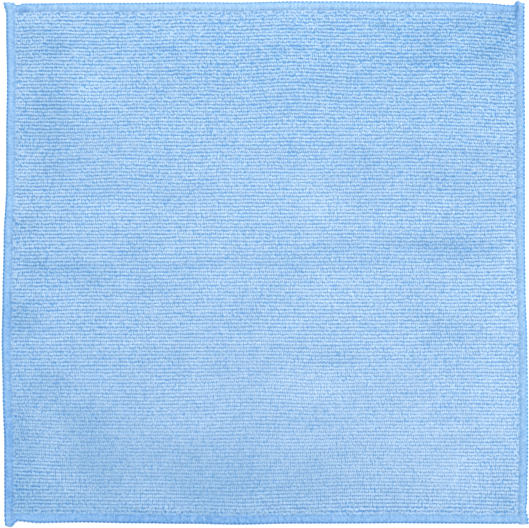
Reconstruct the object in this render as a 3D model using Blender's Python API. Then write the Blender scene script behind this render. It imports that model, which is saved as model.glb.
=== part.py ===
"""A microfibre cloth lying flat: a square of terry knit with an overlocked edge.

Metres, +Z up. The origin is on the surface that the cloth lies on, below the
middle of its box. X runs along the rows of pile from left to right, and Y runs
across them from the near edge to the far edge.

The cloth and its sewn edge are one piece, so they are one solid. A grid is moved
to the cloth's uneven outline and extruded into a top side and an underside. The
top side carries the raised edge band, the groove along its needle line, the
creases left by folding and the swells of the pile. The underside is flat where
it rests, and rises where an edge or a corner lifts.
"""

import math
from collections import namedtuple

import bmesh
import bpy

MM = 0.001

# Driving dimensions
SIDE = 0.400  # the finished cloth's nominal side
FIELD_STEP = 0.0105  # spacing of the grid over the plain field
CREASE_STEP = 0.0032  # spacing of the grid across a crease
STRIP = 0.0084  # width of a side's edge band, where it runs out as an ear at a corner
EAR_REACH = 0.012  # how far from the corner an ear starts to draw out
LEAN_REACH = 0.0085  # how far from the corner the tip starts to lean aside
WAIST_AT = 0.0115  # where the side draws in, before the tip
WAIST_REACH = 0.007
DRIFT_REACH = 0.080  # how far into the cloth the outline's unevenness fades out
CLOTH_COLOUR = (0.36, 0.58, 0.87, 1.0)
CLOTH_ROUGHNESS = 0.9

# Section across the edge, from the outside in, in millimetres: the overlock is a
# round roll, its needle line presses the pile down, and then the pile stands free.
EdgeRow = namedtuple("EdgeRow", "inset top under")
EDGE_SECTION = (
    EdgeRow(0.0, 1.35, 0.65),
    EdgeRow(0.5, 1.95, 0.20),
    EdgeRow(1.6, 2.35, 0.00),
    EdgeRow(3.4, 2.50, 0.00),
    EdgeRow(5.2, 2.30, 0.00),
    EdgeRow(6.8, 1.75, 0.00),
    EdgeRow(8.4, 2.20, 0.00),
    EdgeRow(11.0, 2.55, 0.00),
    EdgeRow(16.0, 2.60, 0.00),
)

# How far each edge stands outside the nominal square, in millimetres, at places
# along it: from near to far on the left and right, from left to right on the others.
DriftRow = namedtuple("DriftRow", "along left right near far")
EDGE_DRIFT = (
    DriftRow(-180, -0.1, 0.8, -1.9, -0.3),
    DriftRow(-140, 0.0, 1.3, -2.3, 0.1),
    DriftRow(-100, 1.1, 1.2, -1.7, 0.1),
    DriftRow(-60, 1.8, 0.9, -1.3, 0.6),
    DriftRow(-20, 1.2, -0.5, -0.6, 0.4),
    DriftRow(20, 0.1, -1.1, -1.4, 1.3),
    DriftRow(60, -1.7, -1.1, -1.5, 1.2),
    DriftRow(100, -1.8, -1.0, -1.7, 0.9),
    DriftRow(140, -2.4, -1.4, -1.5, 0.7),
    DriftRow(180, -1.8, -1.2, -1.3, -0.1),
)

# The corners, in millimetres. The bands of the left and right sides run on past
# the near and far edges as ears with rounded ends, whose tips lean aside. The edge
# beside an ear is drawn back in a notch that ends some way along it.
CornerRow = namedtuple("CornerRow", "x_side y_side ear width lean waist notch notch_end")
CORNERS = (
    CornerRow(-1, 1, 0.7, 9.6, 2.1, 0.0, 1.6, 14),
    CornerRow(1, 1, 2.1, 7.4, 0.0, 0.0, 1.4, 30),
    CornerRow(-1, -1, 2.7, 11.0, -0.6, 0.0, 1.6, 28),
    CornerRow(1, -1, 0.0, 9.6, 1.1, 0.8, 0.3, 12),
)

# Creases from folding, as soft troughs in the top side, in millimetres. Each row is
# a place along the crease, where it lies across, its depth and half its width.
CreaseRow = namedtuple("CreaseRow", "along across depth reach")
CROSS_CREASE = (
    CreaseRow(-196, -3, 0.00, 5),
    CreaseRow(-160, -2, 0.45, 5),
    CreaseRow(-70, -2, 0.35, 5),
    CreaseRow(10, -1, 0.20, 5),
    CreaseRow(40, 11, 0.25, 7),
    CreaseRow(110, 13, 0.55, 9),
    CreaseRow(165, 14, 0.60, 9),
    CreaseRow(196, 12, 0.00, 8),
)
LONG_CREASE = (
    CreaseRow(-192, -12, 0.00, 5),
    CreaseRow(-140, -12, 0.35, 5),
    CreaseRow(-60, -11, 0.30, 5),
    CreaseRow(-15, -11, 0.00, 5),
)

# Swells and hollows of the top side, in millimetres and degrees: the middle, the
# reach along and across, how far the long way is turned from X, and the rise.
SwellRow = namedtuple("SwellRow", "x y along across turn rise")
SWELLS = (
    SwellRow(-149, 145, 62, 16, 88, 0.55),
    SwellRow(-76, 160, 34, 13, 4, 0.35),
    SwellRow(16, 160, 36, 13, -4, 0.35),
    SwellRow(112, 166, 52, 15, -6, 0.50),
    SwellRow(176, 128, 45, 20, -35, 0.35),
    SwellRow(-120, 48, 60, 24, 8, 0.35),
    SwellRow(52, 58, 64, 26, -10, 0.45),
    SwellRow(150, -18, 58, 22, 5, 0.45),
    SwellRow(-165, -30, 44, 18, 25, 0.50),
    SwellRow(-20, -62, 70, 26, -6, 0.30),
    SwellRow(-130, -98, 58, 15, -52, 0.60),
    SwellRow(-128, -152, 52, 14, -55, 0.60),
    SwellRow(40, -140, 80, 22, 8, 0.35),
    SwellRow(158, -128, 60, 26, 20, 0.45),
    SwellRow(108, 92, 46, 22, 12, -0.35),
    SwellRow(-30, 118, 70, 24, 0, -0.25),
)

# Where the cloth comes off the surface, in millimetres: both sides rise together.
LiftRow = namedtuple("LiftRow", "x y reach_x reach_y rise")
LIFTS = (
    LiftRow(-180, -203, 36, 24, 1.7),
    LiftRow(-202, 203, 15, 15, 1.2),
    LiftRow(196, 205, 14, 16, 1.3),
    LiftRow(204, -197, 14, 13, 1.0),
    LiftRow(-205, -58, 12, 60, 0.7),
    LiftRow(206, 30, 12, 46, 0.6),
    LiftRow(40, 206, 60, 11, 0.5),
)


def ease(t):
    """Goes smoothly from 0 to 1 as t does, and stays there outside."""
    t = min(max(t, 0.0), 1.0)
    return t * t * (3.0 - 2.0 * t)


def fade(distance, reach):
    """1 at distance 0, falling smoothly to 0 at reach."""
    return 1.0 - ease(distance / reach)


def hump(r_squared):
    """A soft hump: 1 in the middle, and exactly 0 from r = 1 outwards."""
    return max(0.0, 1.0 - r_squared) ** 2


def read(table, place, column):
    """A column of a table of rows in millimetres, read in metres at a place."""
    at = place / MM
    if at <= table[0][0]:
        return getattr(table[0], column) * MM
    for low, high in zip(table, table[1:]):
        if at <= high[0]:
            t = ease((at - low[0]) / (high[0] - low[0]))
            return ((1.0 - t) * getattr(low, column) + t * getattr(high, column)) * MM
    return getattr(table[-1], column) * MM


def spaced(start, end, step):
    """Even places from start up to, and without, end."""
    count = max(1, round((end - start) / step))
    return [start + (end - start) * i / count for i in range(count)]


def grid_lines(crease):
    """Places of the grid's lines: close at the edges, as the section asks, and across a crease."""
    edge = [SIDE / 2 - row.inset * MM for row in EDGE_SECTION]
    inner = edge[-1]
    low = min(row.across - row.reach for row in crease) * MM
    high = max(row.across + row.reach for row in crease) * MM
    field = spaced(-inner, low, FIELD_STEP)
    field += spaced(low, high, CREASE_STEP)
    field += spaced(high, inner, FIELD_STEP)
    return [-place for place in edge[:-1]] + field + edge[::-1]


def drifted(u, v):
    """Moves a point of the nominal square to the cloth's uneven outline."""
    half = SIDE / 2
    x = u - read(EDGE_DRIFT, v, "left") * fade(half + u, DRIFT_REACH)
    x += read(EDGE_DRIFT, v, "right") * fade(half - u, DRIFT_REACH)
    y = v - read(EDGE_DRIFT, u, "near") * fade(half + v, DRIFT_REACH)
    y += read(EDGE_DRIFT, u, "far") * fade(half - v, DRIFT_REACH)
    return x, y


def corner_shift(u, v):
    """How far the ears and notches at the corners move a point."""
    dx = 0.0
    dy = 0.0
    for corner in CORNERS:
        from_side = SIDE / 2 - corner.x_side * u
        from_end = SIDE / 2 - corner.y_side * v
        if from_side > corner.notch_end * MM + STRIP or from_end > WAIST_AT + WAIST_REACH:
            continue
        across = (from_side - STRIP / 2) / (corner.width * MM / 2)
        rounded = math.sqrt(max(0.0, 1.0 - across**2))
        dy += corner.y_side * corner.ear * MM * rounded * fade(from_end, EAR_REACH)
        beside = ease((from_side - 0.7 * STRIP) / (0.3 * STRIP))
        along = (from_side - STRIP) / (corner.notch_end * MM - STRIP)
        notch = corner.notch * MM * beside * fade(along, 1.0)
        dy -= corner.y_side * notch * fade(from_end, EAR_REACH)
        lean = corner.lean * MM * fade(from_end, LEAN_REACH) * fade(from_side, EAR_REACH)
        waist = corner.waist * MM * fade(abs(from_end - WAIST_AT), WAIST_REACH)
        dx += corner.x_side * (lean - waist * fade(from_side, EAR_REACH))
    return dx, dy


def crease_depth(crease, along, across):
    """Depth of a crease at a point given along and across it."""
    offset = across - read(crease, along, "across")
    return read(crease, along, "depth") * hump((offset / read(crease, along, "reach")) ** 2)


def swell(x, y):
    """Rise of the top side from the swells and hollows of the pile."""
    rise = 0.0
    for row in SWELLS:
        dx = x / MM - row.x
        dy = y / MM - row.y
        cos = math.cos(math.radians(row.turn))
        sin = math.sin(math.radians(row.turn))
        along = (dx * cos + dy * sin) / row.along
        across = (dy * cos - dx * sin) / row.across
        rise += row.rise * MM * hump(along**2 + across**2)
    return rise


def lift(x, y):
    """How far both sides come off the surface."""
    rise = 0.0
    for row in LIFTS:
        dx = (x / MM - row.x) / row.reach_x
        dy = (y / MM - row.y) / row.reach_y
        rise += row.rise * MM * hump(dx**2 + dy**2)
    return rise


def top_height(u, v, x, y):
    """Height of the top side."""
    inset = SIDE / 2 - max(abs(u), abs(v))
    height = read(EDGE_SECTION, inset, "top") + lift(x, y)
    inside = ease((inset - STRIP) / STRIP)
    relief = swell(x, y) - crease_depth(CROSS_CREASE, u, v) - crease_depth(LONG_CREASE, v, u)
    return height + inside * relief


def under_height(u, v, x, y):
    """Height of the underside."""
    inset = SIDE / 2 - max(abs(u), abs(v))
    return read(EDGE_SECTION, inset, "under") + lift(x, y)


def cloth_mesh():
    """The grid, moved to its outline, extruded into two sides and given its heights."""
    across = grid_lines(LONG_CREASE)
    along = grid_lines(CROSS_CREASE)
    columns = len(across) - 1
    rows = len(along) - 1
    work = bmesh.new()
    bmesh.ops.create_grid(work, x_segments=columns, y_segments=rows, size=1.0)
    bmesh.ops.reverse_faces(work, faces=work.faces[:])
    nominal = work.verts.layers.float_vector.new("nominal")
    for vert in work.verts:
        u = across[round((vert.co.x + 1.0) / 2.0 * columns)]
        v = along[round((vert.co.y + 1.0) / 2.0 * rows)]
        vert[nominal] = (u, v, 0.0)
    under = set(work.verts)
    bmesh.ops.extrude_face_region(work, geom=work.faces[:], use_keep_orig=True)
    for vert in work.verts:
        u, v, _ = vert[nominal]
        x, y = drifted(u, v)
        dx, dy = corner_shift(u, v)
        x += dx
        y += dy
        height = under_height if vert in under else top_height
        vert.co = (x, y, height(u, v, x, y))
    middle_x = (min(v.co.x for v in work.verts) + max(v.co.x for v in work.verts)) / 2
    middle_y = (min(v.co.y for v in work.verts) + max(v.co.y for v in work.verts)) / 2
    bmesh.ops.translate(work, verts=work.verts[:], vec=(-middle_x, -middle_y, 0.0))
    bmesh.ops.recalc_face_normals(work, faces=work.faces[:])
    mesh = bpy.data.meshes.new("cloth")
    work.to_mesh(mesh)
    work.free()
    mesh.shade_smooth()
    return mesh


def cloth_material():
    """Light blue microfibre, matt."""
    material = bpy.data.materials.new("light_blue_microfibre")
    material.use_nodes = True
    shader = material.node_tree.nodes["Principled BSDF"]
    shader.inputs["Base Color"].default_value = CLOTH_COLOUR
    shader.inputs["Roughness"].default_value = CLOTH_ROUGHNESS
    shader.inputs["Metallic"].default_value = 0.0
    return material


def main():
    for old in list(bpy.data.objects):
        bpy.data.objects.remove(old)
    collection = bpy.data.collections.new("microfibre_cloth")
    bpy.context.scene.collection.children.link(collection)
    cloth = bpy.data.objects.new("cloth", cloth_mesh())
    cloth.data.materials.append(cloth_material())
    collection.objects.link(cloth)


main()
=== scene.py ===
"""The looks of a light-blue microfibre cloth that lies flat on a pale floor.

Metres, +Z up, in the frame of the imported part. The cloth is made the way the real
one is. A thin knitted ground lies on the folds of its solid, rows of pile loops
stand on it, and a three-thread overlock closes the edge: looper strands across
the edge, a chain of beads round it and a needle thread along its inner side.
Short ends of the sewing thread are left at the corners.

Places on the cloth are first given on the flat square that it was cut to, as u
along the rows and v across them, and then moved to its uneven outline.
"""

import math
from collections import namedtuple

import bpy
import numpy as np
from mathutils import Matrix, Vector
from mathutils.bvhtree import BVHTree


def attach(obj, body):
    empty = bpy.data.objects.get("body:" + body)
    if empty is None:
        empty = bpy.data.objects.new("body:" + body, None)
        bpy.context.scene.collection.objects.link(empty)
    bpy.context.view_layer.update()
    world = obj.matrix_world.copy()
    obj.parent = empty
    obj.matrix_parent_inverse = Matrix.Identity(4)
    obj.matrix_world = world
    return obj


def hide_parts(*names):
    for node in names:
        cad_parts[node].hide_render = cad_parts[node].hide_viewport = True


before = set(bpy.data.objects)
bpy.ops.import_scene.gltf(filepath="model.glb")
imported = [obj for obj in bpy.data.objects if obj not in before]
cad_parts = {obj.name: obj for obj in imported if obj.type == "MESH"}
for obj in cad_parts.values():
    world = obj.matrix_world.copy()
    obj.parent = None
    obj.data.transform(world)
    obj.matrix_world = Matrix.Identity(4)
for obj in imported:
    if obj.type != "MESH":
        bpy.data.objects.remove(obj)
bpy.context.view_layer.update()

MM = 0.001
HALF = 0.200  # half the side of the cut square
TINY = 1e-12  # keeps a direction of no length from being divided by 0

# Soft unevenness is read from a table of so many random values each way
LUMPS = 128
LUMPS_START = (40.3, 41.7)  # where in it the cloth's middle lies

# Heights come from rays that start well clear of the solid. A place just outside its
# outline is moved inwards a few times.
CLEAR = 0.1
TRIES = 12
INWARDS = 0.999
MIDDLE_HEIGHT = 1.0 * MM  # for a place that no ray finds
OUTLINE_STEPS = 401  # places along a side where the outline is measured

# Seeds of the random things. Sides and creases each count on from their own.
PLACE_SEED = 7
NAP_SEED = 8
FINE_NAP_SEED = 9
SWAY_SEED = 10
BEND_SEED = 12
WAVE_SEED = 13
LOOP_SEED = 27
SEAM_SEED = 47
THREAD_SEED = 57
CREASE_SEED = 67

# The rows of pile
ROW_PITCH = 2.64 * MM
ROW_SPREAD = 0.03  # how much closer the rows are at the far edge, and wider at the near one
LOOP_PITCH = 1.53 * MM
PITCH_UNEVEN = 0.07  # of the pitch
PILE_INSET = 6.6 * MM  # where the pile starts, in from the edge
PILE_PARTS = 4  # pieces that the pile is split into

# How the rows run. Roughness is 1 in common pile, and less where it is calmer.
SWAY = 0.9 * MM  # how far the loops are shifted along their rows
SWAY_SIZE = 34 * MM
SWAY_REACH = 10 * MM  # how far in from the side bands they are shifted less
BEND = 0.5 * MM  # how far the rows bend, besides the bends in the table below
BEND_SIZE = 40 * MM
BEND_LEAST = 0.3  # the share of their bends that rows keep beside the near and far bands
BEND_REACH = 8 * MM
WAVE = 0.22 * MM  # how far the rows wander to and fro
WAVE_LEAST = 0.4  # the share that the calmest keep
WAVE_ALONG = 8.0 * MM
WAVE_ACROSS = 3.4 * MM
ROW_UNEVEN = 0.04  # how far single loops are out of their row, in pitches
FUZZY = 0.16  # and how much further beside the bands, where the rows are untidy
FUZZY_REACH = 8.0 * MM
BAND_CALM = 0.4  # how much calmer the pile is beside the bands
BAND_CALM_REACH = 9 * MM
FURROW = 0.07 * MM  # how far apart two rough rows are where the furrow between them is shut
FURROW_OPEN = 0.26 * MM  # and how much more it opens, here and there
FURROW_RARE = 0.35  # the lower, the fewer places are open and the wider they are
FURROW_MOST = 0.80 * MM
CALM_SPREAD = 0.10  # how much longer the loops of calm rows are, which shuts the furrows

# One loop
PILE_DEPTH = 1.20 * MM  # from the ground to the tips
ROOT_SINK = 0.20 * MM  # how far a loop's foot is sunk in the ground
LOOP_WIDTH = 1.85 * MM
WIDTH_UNEVEN = 0.08
LOOP_UNEVEN = 0.22  # how much each corner of a loop stands in or out
LOOP_UNEVEN_LEAST = 0.6  # the share that is left in the calmest pile
LOOP_TURN = 0.24  # radians
LOOP_LEAN = 0.17 * MM
TIP_UNEVEN = 0.08 * MM  # how far the tips of rough pile sink, and how much they differ
RING_UNEVEN = 0.05 * MM
FIBRE_MOTTLE = 0.05  # how much the places of a loop differ in tone
SHADE_SPECKS = 0.275  # how far down random specks of a loop are painted towards shade, standing in for gaps between its fibres
SPECKS_RARE = 0.3  # the lower, the fewer the painted specks and the darker they are
SHADE_LEAST = 0.2  # the share of the painted shade that is left in the calmest pile

# A loop seen from above, in halves of its width and length
LOOP_OUTLINE = np.array(
    [(1.0, 0.0), (0.2, 1.0), (-0.2, 1.0), (-1.0, 0.0), (-0.2, -1.0), (0.2, -1.0)]
)
LOOP_SIDES = len(LOOP_OUTLINE)
# A ring's tint is how near the yarn's lighter colour it is painted: the root ring is in full painted
# shade, which lessens up to the tip.
LoopRing = namedtuple("LoopRing", "height width length tint")
LOOP_RINGS = (LoopRing(0.0, 1.0, 1.0, 0.0), LoopRing(0.82, 0.97, 0.99, 0.92))

# The ground: its lines in from the edge, in millimetres, and its heights in the solid
RIM_INSETS = (1.05, 1.4, 2.0, 3.2, 4.8, 6.2, 7.2, 8.6, 11.0)
GROUND_STEP = 5.0 * MM
GROUND_LEAST = 0.35 * MM  # its least thickness
BAND_SINK = 0.5 * MM  # how far below the solid's top it lies under the edge band
BAND_SLOPE = 2 * MM  # over which it goes down from there to the foot of the pile
REVERSE_RISE = 0.30 * MM  # how far its reverse side lies above the solid's underside
RIB = 0.22 * MM  # rise of the reverse side's ribs
RIB_RISE = 0.02 * MM  # how much higher its ribs lie than its rim
BAND_TINT = 0.6  # how light it is under the band, and 0 under the pile, where the knit between the loops is painted in full shade
# the reverse side is painted partly in shade, its grooves at this lightness
REVERSE_TINT = 0.35
RIB_TINT = 0.5  # and how much lighter its ribs are, its grooves being painted in shade

# The overlock. Each looper strand runs from the needle line over the edge and back below: inset from the
# edge, and how light it is, at each step. Its lightness is painted shade, darkest where it turns round the
# edge and darker where its ends dive into the knit.
STITCH = 3.05 * MM
BAND = 6.9 * MM
SIDE_SEAM_END = 0.5 * MM  # how far from the cloth's corner the side seams end
OTHER_SEAM_END = 6.3 * MM  # and the near and far ones
LOOPER_INSETS = np.array([7.3, 5.9, 4.0, 2.8, 1.9, 1.55, 1.30, 1.55, 2.4, 4.4, 6.9]) * MM
LOOPER_TINTS = np.array([0.75, 0.85, 1.0, 0.95, 0.8, 0.45, 0.15, 0.35, 0.8, 1.0, 0.85])
EDGE_STEP = 6  # where a looper strand passes round the edge
EDGE_TILT = 0.8  # how far its face leans outwards beside that step
# The strands of a stitch: where in it each starts inside, and where it passes the edge
LOOPER_WAYS = ((0.08, 0.36), (0.60, 0.80))
LOOPER_UNEVEN = 0.03  # of a stitch
LOOPER_DIVE = 0.5 * MM  # how deep a strand's ends would go if they were nothing wide
LOOPER_TAPER = np.ones(len(LOOPER_INSETS))
LOOPER_TAPER[[0, -1]] = 0.55  # its ends are narrower, and dive into the knit
RAGGED = 0.06  # how unevenly the strands reach in over the knit
RAGGED_SHARE = 0.4  # of the band, from its inner side
STRAND_WIDTH = 2.12 * MM
STRAND_HEIGHT = 0.50 * MM
STRAND_UNEVEN = 0.05
STRAND_STREAK = 0.035  # how much the strands differ in tone
STRAND_MOTTLE = 0.11  # and the places of one strand

# The chains: inset and thickness in millimetres, how much the thickness swells, height as a share of the
# solid's, how much the tint swells, and steps to a stitch. The tint swells with the thickness, so that the
# thin places between swells are painted in shade.
ChainRow = namedtuple("ChainRow", "inset thick swell level tint_swell steps")
BEADS = ChainRow(0.75, 0.984, 0.75, 0.55, 0.06, 8)
NEEDLE = ChainRow(6.9, 0.552, 0.45, 0.86, 0.7, 4)
NEEDLE_TINT = 0.2  # how light the needle thread's dark parts are, which are painted shade at its thin places
NEEDLE_END = 0.8 * MM  # how far the needle thread stops short of its seam's end

# The sides: the axis that each lies across, which way, and how light its darkest beads are. Their darkness
# is painted shade between the stitches, and the far side's lighter beads are painted light.
Side = namedtuple("Side", "name axis sign bead_tint")
SIDES = (
    Side("left", 0, -1, 0.10),
    Side("right", 0, 1, 0.12),
    Side("near", 1, -1, 0.12),
    Side("far", 1, 1, 0.34),
)

# Strands, chains and thread ends are closed tubes
TUBE_SIDES = 6
TUBE_END = np.array([(0, 1, 2, 3), (0, 3, 4, 5)])  # faces that close a tube, by places round it

# Loose thread ends: places along each, and thickness, in millimetres
Thread = namedtuple("Thread", "points thick")
THREAD_ENDS = (
    Thread(((193.4, 197.6, 1.3), (193.9, 199.6, 1.2), (194.2, 201.2, 0.9), (194.1, 202.6, 0.5)), 0.55),
    Thread(((198.4, -191.2, 1.3), (200.4, -192.2, 1.0), (202.2, -192.5, 0.6), (203.8, -192.2, 0.4)), 0.45),
    Thread(((198.8, -194.6, 1.2), (200.8, -195.2, 0.9), (202.4, -195.1, 0.5), (203.6, -195.5, 0.4)), 0.45),
)
THREAD_STEPS = 13  # places along each, once it is smooth
THREAD_TINT = 0.7

# The yarns. The second colour of each is painted shade: the colour it is given where shade falls, between
# the loops, at their roots and in the crevices of the seam. The weights say how much a change of tone
# moves red, green and blue, and fibres how close their hairs are along X, Y and Z.
Yarn = namedtuple(
    "Yarn", "name light deep weights mottle relief_depth rough sheen fibres",
    defaults=((2400.0, 3600.0, 1200.0),),
)
PILE_YARN = Yarn(
    "pile_yarn", light=(0.348, 0.492, 0.660), deep=(0.22, 0.455, 0.665), weights=(1.42, 0.80, 0.48),
    mottle=0.62, relief_depth=0.0, rough=0.85, sheen=0.20,
)
GROUND_YARN = Yarn(
    "ground_yarn", light=(0.32, 0.46, 0.63), deep=(0.10, 0.30, 0.59), weights=(1.4, 0.85, 0.45),
    mottle=0.15, relief_depth=0.20 * MM, rough=0.85, sheen=0.20,
)
SEWING_YARN = Yarn(
    "sewing_yarn", light=(0.230, 0.388, 0.592), deep=(0.032, 0.265, 0.60), weights=(1.3, 0.77, 0.30),
    mottle=0.60, relief_depth=0.22 * MM, rough=0.78, sheen=0.15,
)
HAIR_DETAIL = 4.0
HAIR_DISTORTION = 1.2
TUFTS = 1500.0  # how close the tufts of fibres are
TUFT_DETAIL = 1.0
TUFT_SHARE = 0.75  # how much of the grain is tufts, and not hairs
GRAIN_FROM = 0.3  # the noise that the grain's range starts and ends at
GRAIN_TO = 0.52
GRAIN_MIDDLE = 0.8  # the grain that leaves a yarn's tone as it is
SMOOTHER = 0.10  # how far the roughness goes below the yarn's own, and above it
ROUGHER = 0.08
HAIR_HEIGHT = 0.22 * MM
BUMP = 0.8
TWIST = 420.0  # how close the turns of a sewing thread are
TWIST_DISTORTION = 2.0
TWIST_DETAIL = 1.0
SHEEN_ROUGH = 0.45
SHINE = 0.2

# The floor, light and camera
FLOOR_SIZE = 8
FLOOR_DEPTH = 0.3 * MM
FLOOR_GREY = 0.9
FLOOR_ROUGH = 0.9
WORLD = 0.98
KEY = 116.0  # the softbox's power in watts
KEY_SIZE = (2.2, 1.8)
KEY_PLACE = (0.7, 1.0, 3.4)
PIXELS = 529  # the frame's width
PIXEL = 0.765 * MM  # what one of its pixels covers
AIM = (-0.82 * PIXEL, -0.55 * PIXEL)  # what the frame's middle is over
CLOTH_TOP = 2 * MM  # the height at which a pixel covers that
LENS = 120.0
SENSOR = 36.0

# Where things lie in the colour bake, whose sides are 1 long
HALF_BAKE = (0.49, 0.98)  # the size of the ground's top, and of its reverse
TOP_BAKE = (0.005, 0.01)
REVERSE_BAKE = (0.505, 0.01)
CELL_MARGIN = 0.06  # round each loop or tube, in a cell of its own
INNER_RING = 0.6  # the size of a loop's inner ring beside its outer one
SIDES_BAKE = (0.86, 1.0)  # the part of its cell that a tube's sides take up
END_BAKE = (0.94, 0.25)  # the middle of its first end there, and half that end's size
END_BAKE_SIZE = (0.05, 0.20)
OTHER_END_BAKE = (0.0, 0.5)  # how far from there its last end lies

# How far each edge stands outside the square, in millimetres, at places along it:
# from near to far on the left and right, from left to right on the others.
DriftRow = namedtuple("DriftRow", "along left right near far")
EDGE_DRIFT = [DriftRow(*row) for row in (
    (-180, -0.1, 1.0, -1.7, -0.1),
    (-140, 0.0, 1.6, -1.9, 0.3),
    (-100, 1.1, 1.5, -1.3, 0.3),
    (-60, 1.8, 1.1, -0.9, 0.8),
    (-20, 1.2, -0.3, -0.25, 0.6),
    (20, 0.4, -0.8, -1.0, 1.4),
    (60, -1.4, -0.8, -1.1, 1.4),
    (100, -1.5, -0.7, -1.3, 1.1),
    (140, -2.1, -1.1, -1.1, 0.9),
    (180, -1.5, -1.1, -0.9, -0.1),
)]
DRIFT_REACH = 80 * MM  # how far in the edges' unevenness fades out

# The corners, in millimetres: the side bands run on as ears with rounded ends whose
# tips lean aside, and the edge beside an ear is drawn back in a notch.
# The ear's tip has its own place in from the side, and is round at 2 and pointed at 1.
CornerRow = namedtuple("CornerRow", "x_side y_side ear width tip point lean waist notch notch_end")
CORNERS = [CornerRow(*row) for row in (
    (-1, 1, 0.7, 9.6, 4.2, 2.0, 2.1, 0.0, 1.6, 14),
    (1, 1, 2.1, 5.0, 5.6, 1.0, 0.0, 0.0, 1.4, 30),
    (-1, -1, 2.5, 11.0, 4.2, 2.0, -0.6, 0.0, 1.6, 28),
    (1, -1, 0.0, 9.6, 4.2, 2.0, 1.1, 0.8, 0.3, 12),
)]
EAR = 8.4 * MM  # width of the band that runs out as an ear
EAR_REACH = 12 * MM  # how far in an ear and its notch are felt
LEAN_REACH = 8.5 * MM
WAIST_AT = 11.5 * MM  # how far from the end the side is drawn in most
WAIST_REACH = 7 * MM
NOTCH_START = 0.7  # how far from the side a notch begins, in widths of the ear

# A soft patch of the cloth, in millimetres and degrees: its middle, reach along and
# across, how much it adds in the middle, and its turn from X
Patch = namedtuple("Patch", "x y along across amount turn", defaults=(0,))
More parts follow.
